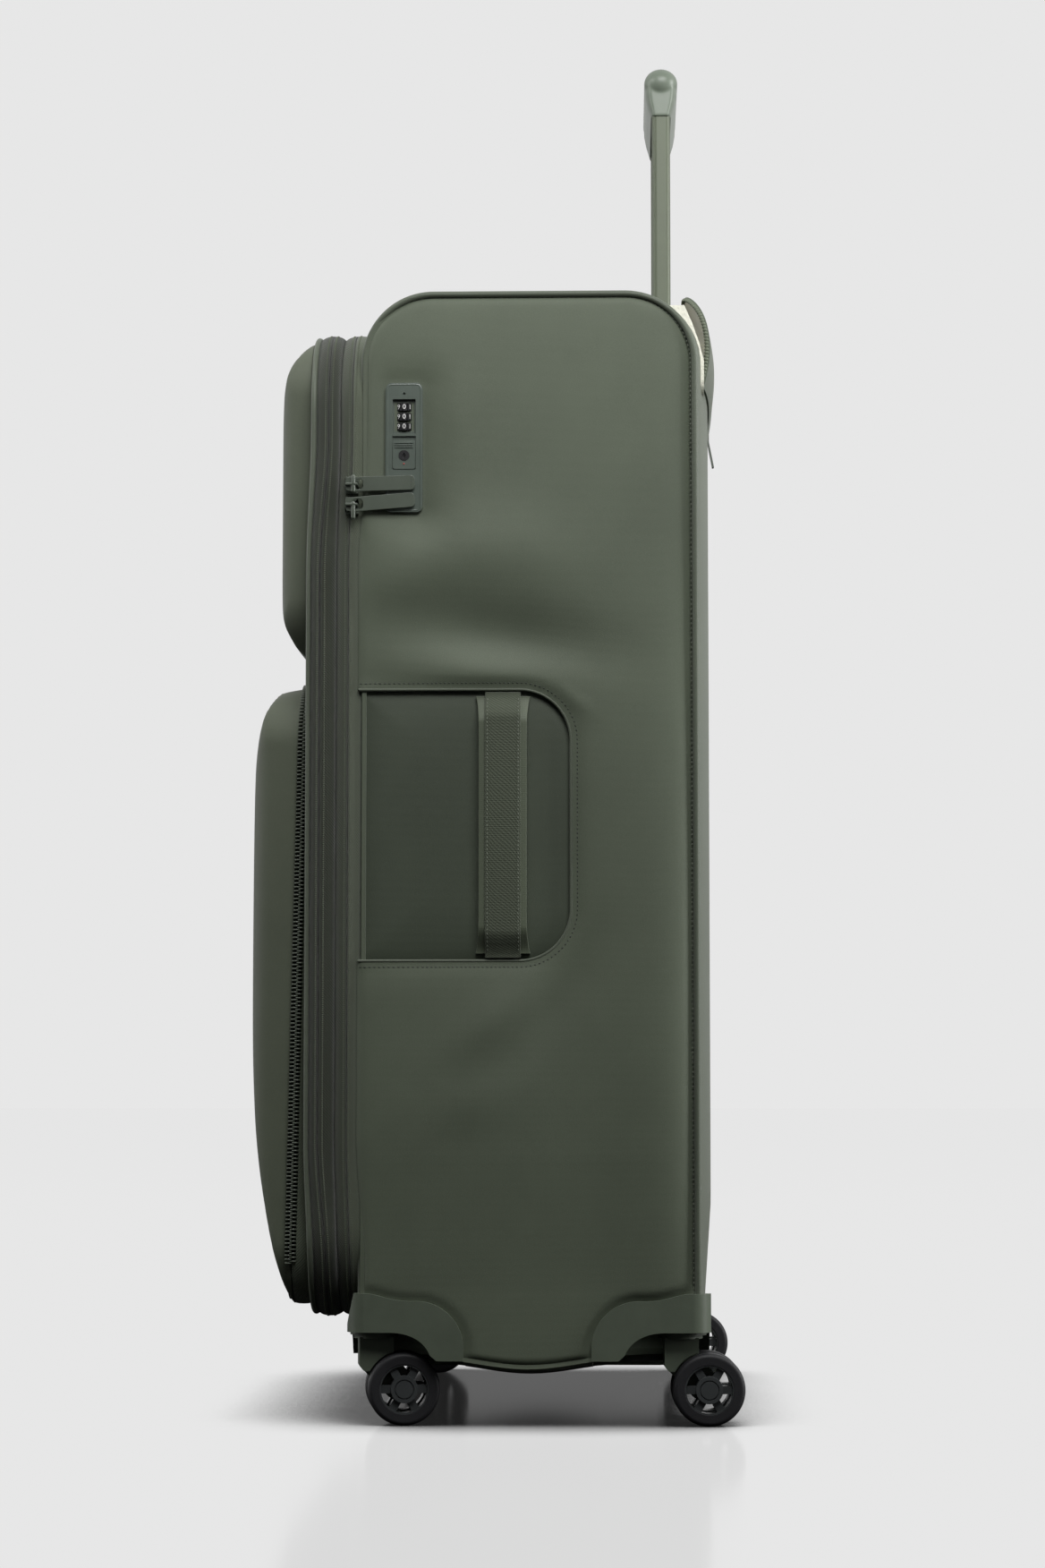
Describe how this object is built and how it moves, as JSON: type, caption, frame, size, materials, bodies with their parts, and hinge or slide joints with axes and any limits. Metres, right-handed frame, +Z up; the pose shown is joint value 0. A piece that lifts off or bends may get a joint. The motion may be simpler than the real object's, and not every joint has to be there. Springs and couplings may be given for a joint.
{
  "type": "wheeled suitcase",
  "caption": "Soft-sided expandable upright suitcase on four swivelling twin wheels, with a telescopic pull handle, zip lid, front pockets and a side lock.",
  "frame": {"origin": "on the floor under the middle of the outline", "axes": "+X towards the side with the carry handle and lock, -Y towards the pocket front, +Z up along the case's height"},
  "size_m": [0.5121, 0.3553, 1.016],
  "materials": {
    "shell_fabric": "soft matte",
    "piping_fabric": "soft matte",
    "lining": "soft matte",
    "zip_tape": "woven",
    "webbing": "woven",
    "board": "matte",
    "moulded": "satin",
    "lock": "satin",
    "dial": "satin",
    "key": "satin",
    "pull": "satin",
    "tube": "satin",
    "grip": "satin",
    "steel": "satin",
    "hub": "satin",
    "tyre": "matte"
  },
  "bodies": {
    "case": {"case_shell": "shell_fabric", "case_lining": "lining", "back_board": "board", "base_tray": "board", "edge_piping": "piping_fabric", "handle_panel": "shell_fabric", "carry_handle_pad": "shell_fabric", "carry_handle_webbing": "webbing", "lock_plate": "lock", "caster_screws": "steel", "rear_pocket_liner": "lining", "handle_bezel": "moulded", "handle_outer_tubes": "tube", "main_zip_case_half": "zip_tape", "lid_hinge_strip": "shell_fabric", "corner_guard_front_near": "moulded", "corner_guard_rear_near": "moulded", "corner_guard_front_far": "moulded", "corner_guard_rear_far": "moulded"},
    "lid": {"lid_band": "zip_tape", "expansion_gusset": "shell_fabric"},
    "front": {"front_panel": "shell_fabric", "front_piping": "piping_fabric", "expander_zip_half": "zip_tape", "upper_pocket": "shell_fabric"},
    "pocket": {"lower_pocket": "shell_fabric"},
    "flap": {"rear_flap": "shell_fabric"},
    "trolley": {"handle_inner_tubes": "tube", "handle_grip": "grip"},
    "release": {"handle_button": "grip", "release_rods": "board"},
    "dial_top": {"lock_dial_top": "dial"},
    "dial_middle": {"lock_dial_middle": "dial"},
    "dial_bottom": {"lock_dial_bottom": "dial"},
    "latch": {"lock_button": "lock"},
    "key": {"lock_key_barrel": "key"},
    "slider_upper": {"main_slider_upper": "pull"},
    "pull_upper": {"main_pull_upper": "pull"},
    "slider_lower": {"main_slider_lower": "pull"},
    "pull_lower": {"main_pull_lower": "pull"},
    "slider_expander": {"expander_slider": "pull"},
    "slider_pocket": {"lower_pocket_slider": "pull"},
    "slider_rear": {"rear_zip_slider": "pull"},
    "swivel_front_near": {"caster_fork_front_near": "moulded", "caster_axle_front_near": "steel"},
    "wheels_front_near": {"wheel_hubs_front_near": "hub", "wheel_tyres_front_near": "tyre"},
    "swivel_rear_near": {"caster_fork_rear_near": "moulded", "caster_axle_rear_near": "steel"},
    "wheels_rear_near": {"wheel_hubs_rear_near": "hub", "wheel_tyres_rear_near": "tyre"},
    "swivel_front_far": {"caster_fork_front_far": "moulded", "caster_axle_front_far": "steel"},
    "wheels_front_far": {"wheel_hubs_front_far": "hub", "wheel_tyres_front_far": "tyre"},
    "swivel_rear_far": {"caster_fork_rear_far": "moulded", "caster_axle_rear_far": "steel"},
    "wheels_rear_far": {"wheel_hubs_rear_far": "hub", "wheel_tyres_rear_far": "tyre"}
  },
  "joints": [
    {"name": "swivel_front_near", "type": "hinge", "parent": "case", "child": "swivel_front_near", "pos_m": [0.227, -0.08134, 0.06], "axis": [0, 0, 1], "continuous": true},
    {"name": "roll_front_near", "type": "hinge", "parent": "swivel_front_near", "child": "wheels_front_near", "pos_m": [0.22461, -0.06269, 0.0253], "axis": [0.9919, 0.1271, 0], "continuous": true},
    {"name": "swivel_rear_near", "type": "hinge", "parent": "case", "child": "swivel_rear_near", "pos_m": [0.227, 0.13306, 0.06], "axis": [0, 0, 1], "continuous": true},
    {"name": "roll_rear_near", "type": "hinge", "parent": "swivel_rear_near", "child": "wheels_rear_near", "pos_m": [0.22621, 0.15184, 0.0253], "axis": [0.9991, 0.0419, 0], "continuous": true},
    {"name": "swivel_front_far", "type": "hinge", "parent": "case", "child": "swivel_front_far", "pos_m": [-0.227, -0.08134, 0.06], "axis": [0, 0, 1], "continuous": true},
    {"name": "roll_front_far", "type": "hinge", "parent": "swivel_front_far", "child": "wheels_front_far", "pos_m": [-0.22962, -0.06273, 0.0253], "axis": [0.9903, 0.1392, 0], "continuous": true},
    {"name": "swivel_rear_far", "type": "hinge", "parent": "case", "child": "swivel_rear_far", "pos_m": [-0.227, 0.13306, 0.06], "axis": [0, 0, 1], "continuous": true},
    {"name": "roll_rear_far", "type": "hinge", "parent": "swivel_rear_far", "child": "wheels_rear_far", "pos_m": [-0.22831, 0.15181, 0.0253], "axis": [0.9976, 0.0698, 0], "continuous": true},
    {"name": "lid_open", "type": "hinge", "parent": "case", "child": "lid", "pos_m": [-0.253, -0.09914, 0.42], "axis": [0, 0, -1], "range_deg": [0, 180], "deforming": ["lid_hinge_strip"]},
    {"name": "expand", "type": "slide", "parent": "lid", "child": "front", "axis": [0, -1, 0], "range_m": [0, 0.045], "deforming": ["expansion_gusset"]},
    {"name": "lower_pocket_open", "type": "hinge", "parent": "front", "child": "pocket", "pos_m": [0, -0.13754, 0.082], "axis": [1, 0, 0], "range_deg": [0, 35]},
    {"name": "rear_flap_open", "type": "hinge", "parent": "case", "child": "flap", "pos_m": [0, 0.15776, 0.7365], "axis": [-1, 0, 0], "range_deg": [-4, 90]},
    {"name": "handle_slide", "type": "slide", "parent": "case", "child": "trolley", "axis": [0, 0, 1], "range_m": [-0.222, 0]},
    {"name": "handle_button_press", "type": "slide", "parent": "trolley", "child": "release", "axis": [0, 0, -1], "range_m": [0, 0.004], "stiffness_N_per_m": 400, "springref_m": -0.003},
    {"name": "dial_top_turn", "type": "hinge", "parent": "case", "child": "dial_top", "pos_m": [0.2444, -0.06174, 0.71835], "axis": [0, 0, 1], "continuous": true},
    {"name": "dial_middle_turn", "type": "hinge", "parent": "case", "child": "dial_middle", "pos_m": [0.2444, -0.06174, 0.7113], "axis": [0, 0, 1], "continuous": true},
    {"name": "dial_bottom_turn", "type": "hinge", "parent": "case", "child": "dial_bottom", "pos_m": [0.2444, -0.06174, 0.70425], "axis": [0, 0, 1], "continuous": true},
    {"name": "latch_slide", "type": "slide", "parent": "case", "child": "latch", "axis": [0, 0, 1], "range_m": [0, 0.003], "stiffness_N_per_m": 150, "springref_m": -0.002},
    {"name": "key_turn", "type": "hinge", "parent": "latch", "child": "key", "pos_m": [0.252, -0.06174, 0.683], "axis": [1, 0, 0], "range_deg": [0, 90]},
    {"name": "main_slider_upper_run", "type": "slide", "parent": "case", "child": "slider_upper", "axis": [0, 0, 1], "range_m": [0, 0.03]},
    {"name": "main_slider_lower_run", "type": "slide", "parent": "case", "child": "slider_lower", "axis": [0, 0, 1], "range_m": [-0.48, 0]},
    {"name": "pull_upper_swing", "type": "hinge", "parent": "slider_upper", "child": "pull_upper", "pos_m": [0.254, -0.09944, 0.6622], "axis": [0, 0, -1], "range_deg": [0, 120]},
    {"name": "pull_lower_swing", "type": "hinge", "parent": "slider_lower", "child": "pull_lower", "pos_m": [0.254, -0.09944, 0.6476], "axis": [0, 0, -1], "range_deg": [0, 120]},
    {"name": "expander_slider_run", "type": "slide", "parent": "lid", "child": "slider_expander", "axis": [0, 0, 1], "range_m": [0, 0.45]},
    {"name": "pocket_slider_run", "type": "slide", "parent": "front", "child": "slider_pocket", "axis": [1, 0, 0], "range_m": [0, 0.3]},
    {"name": "rear_slider_run", "type": "slide", "parent": "flap", "child": "slider_rear", "axis": [1, 0, 0], "range_m": [0, 0.3]}
  ]
}
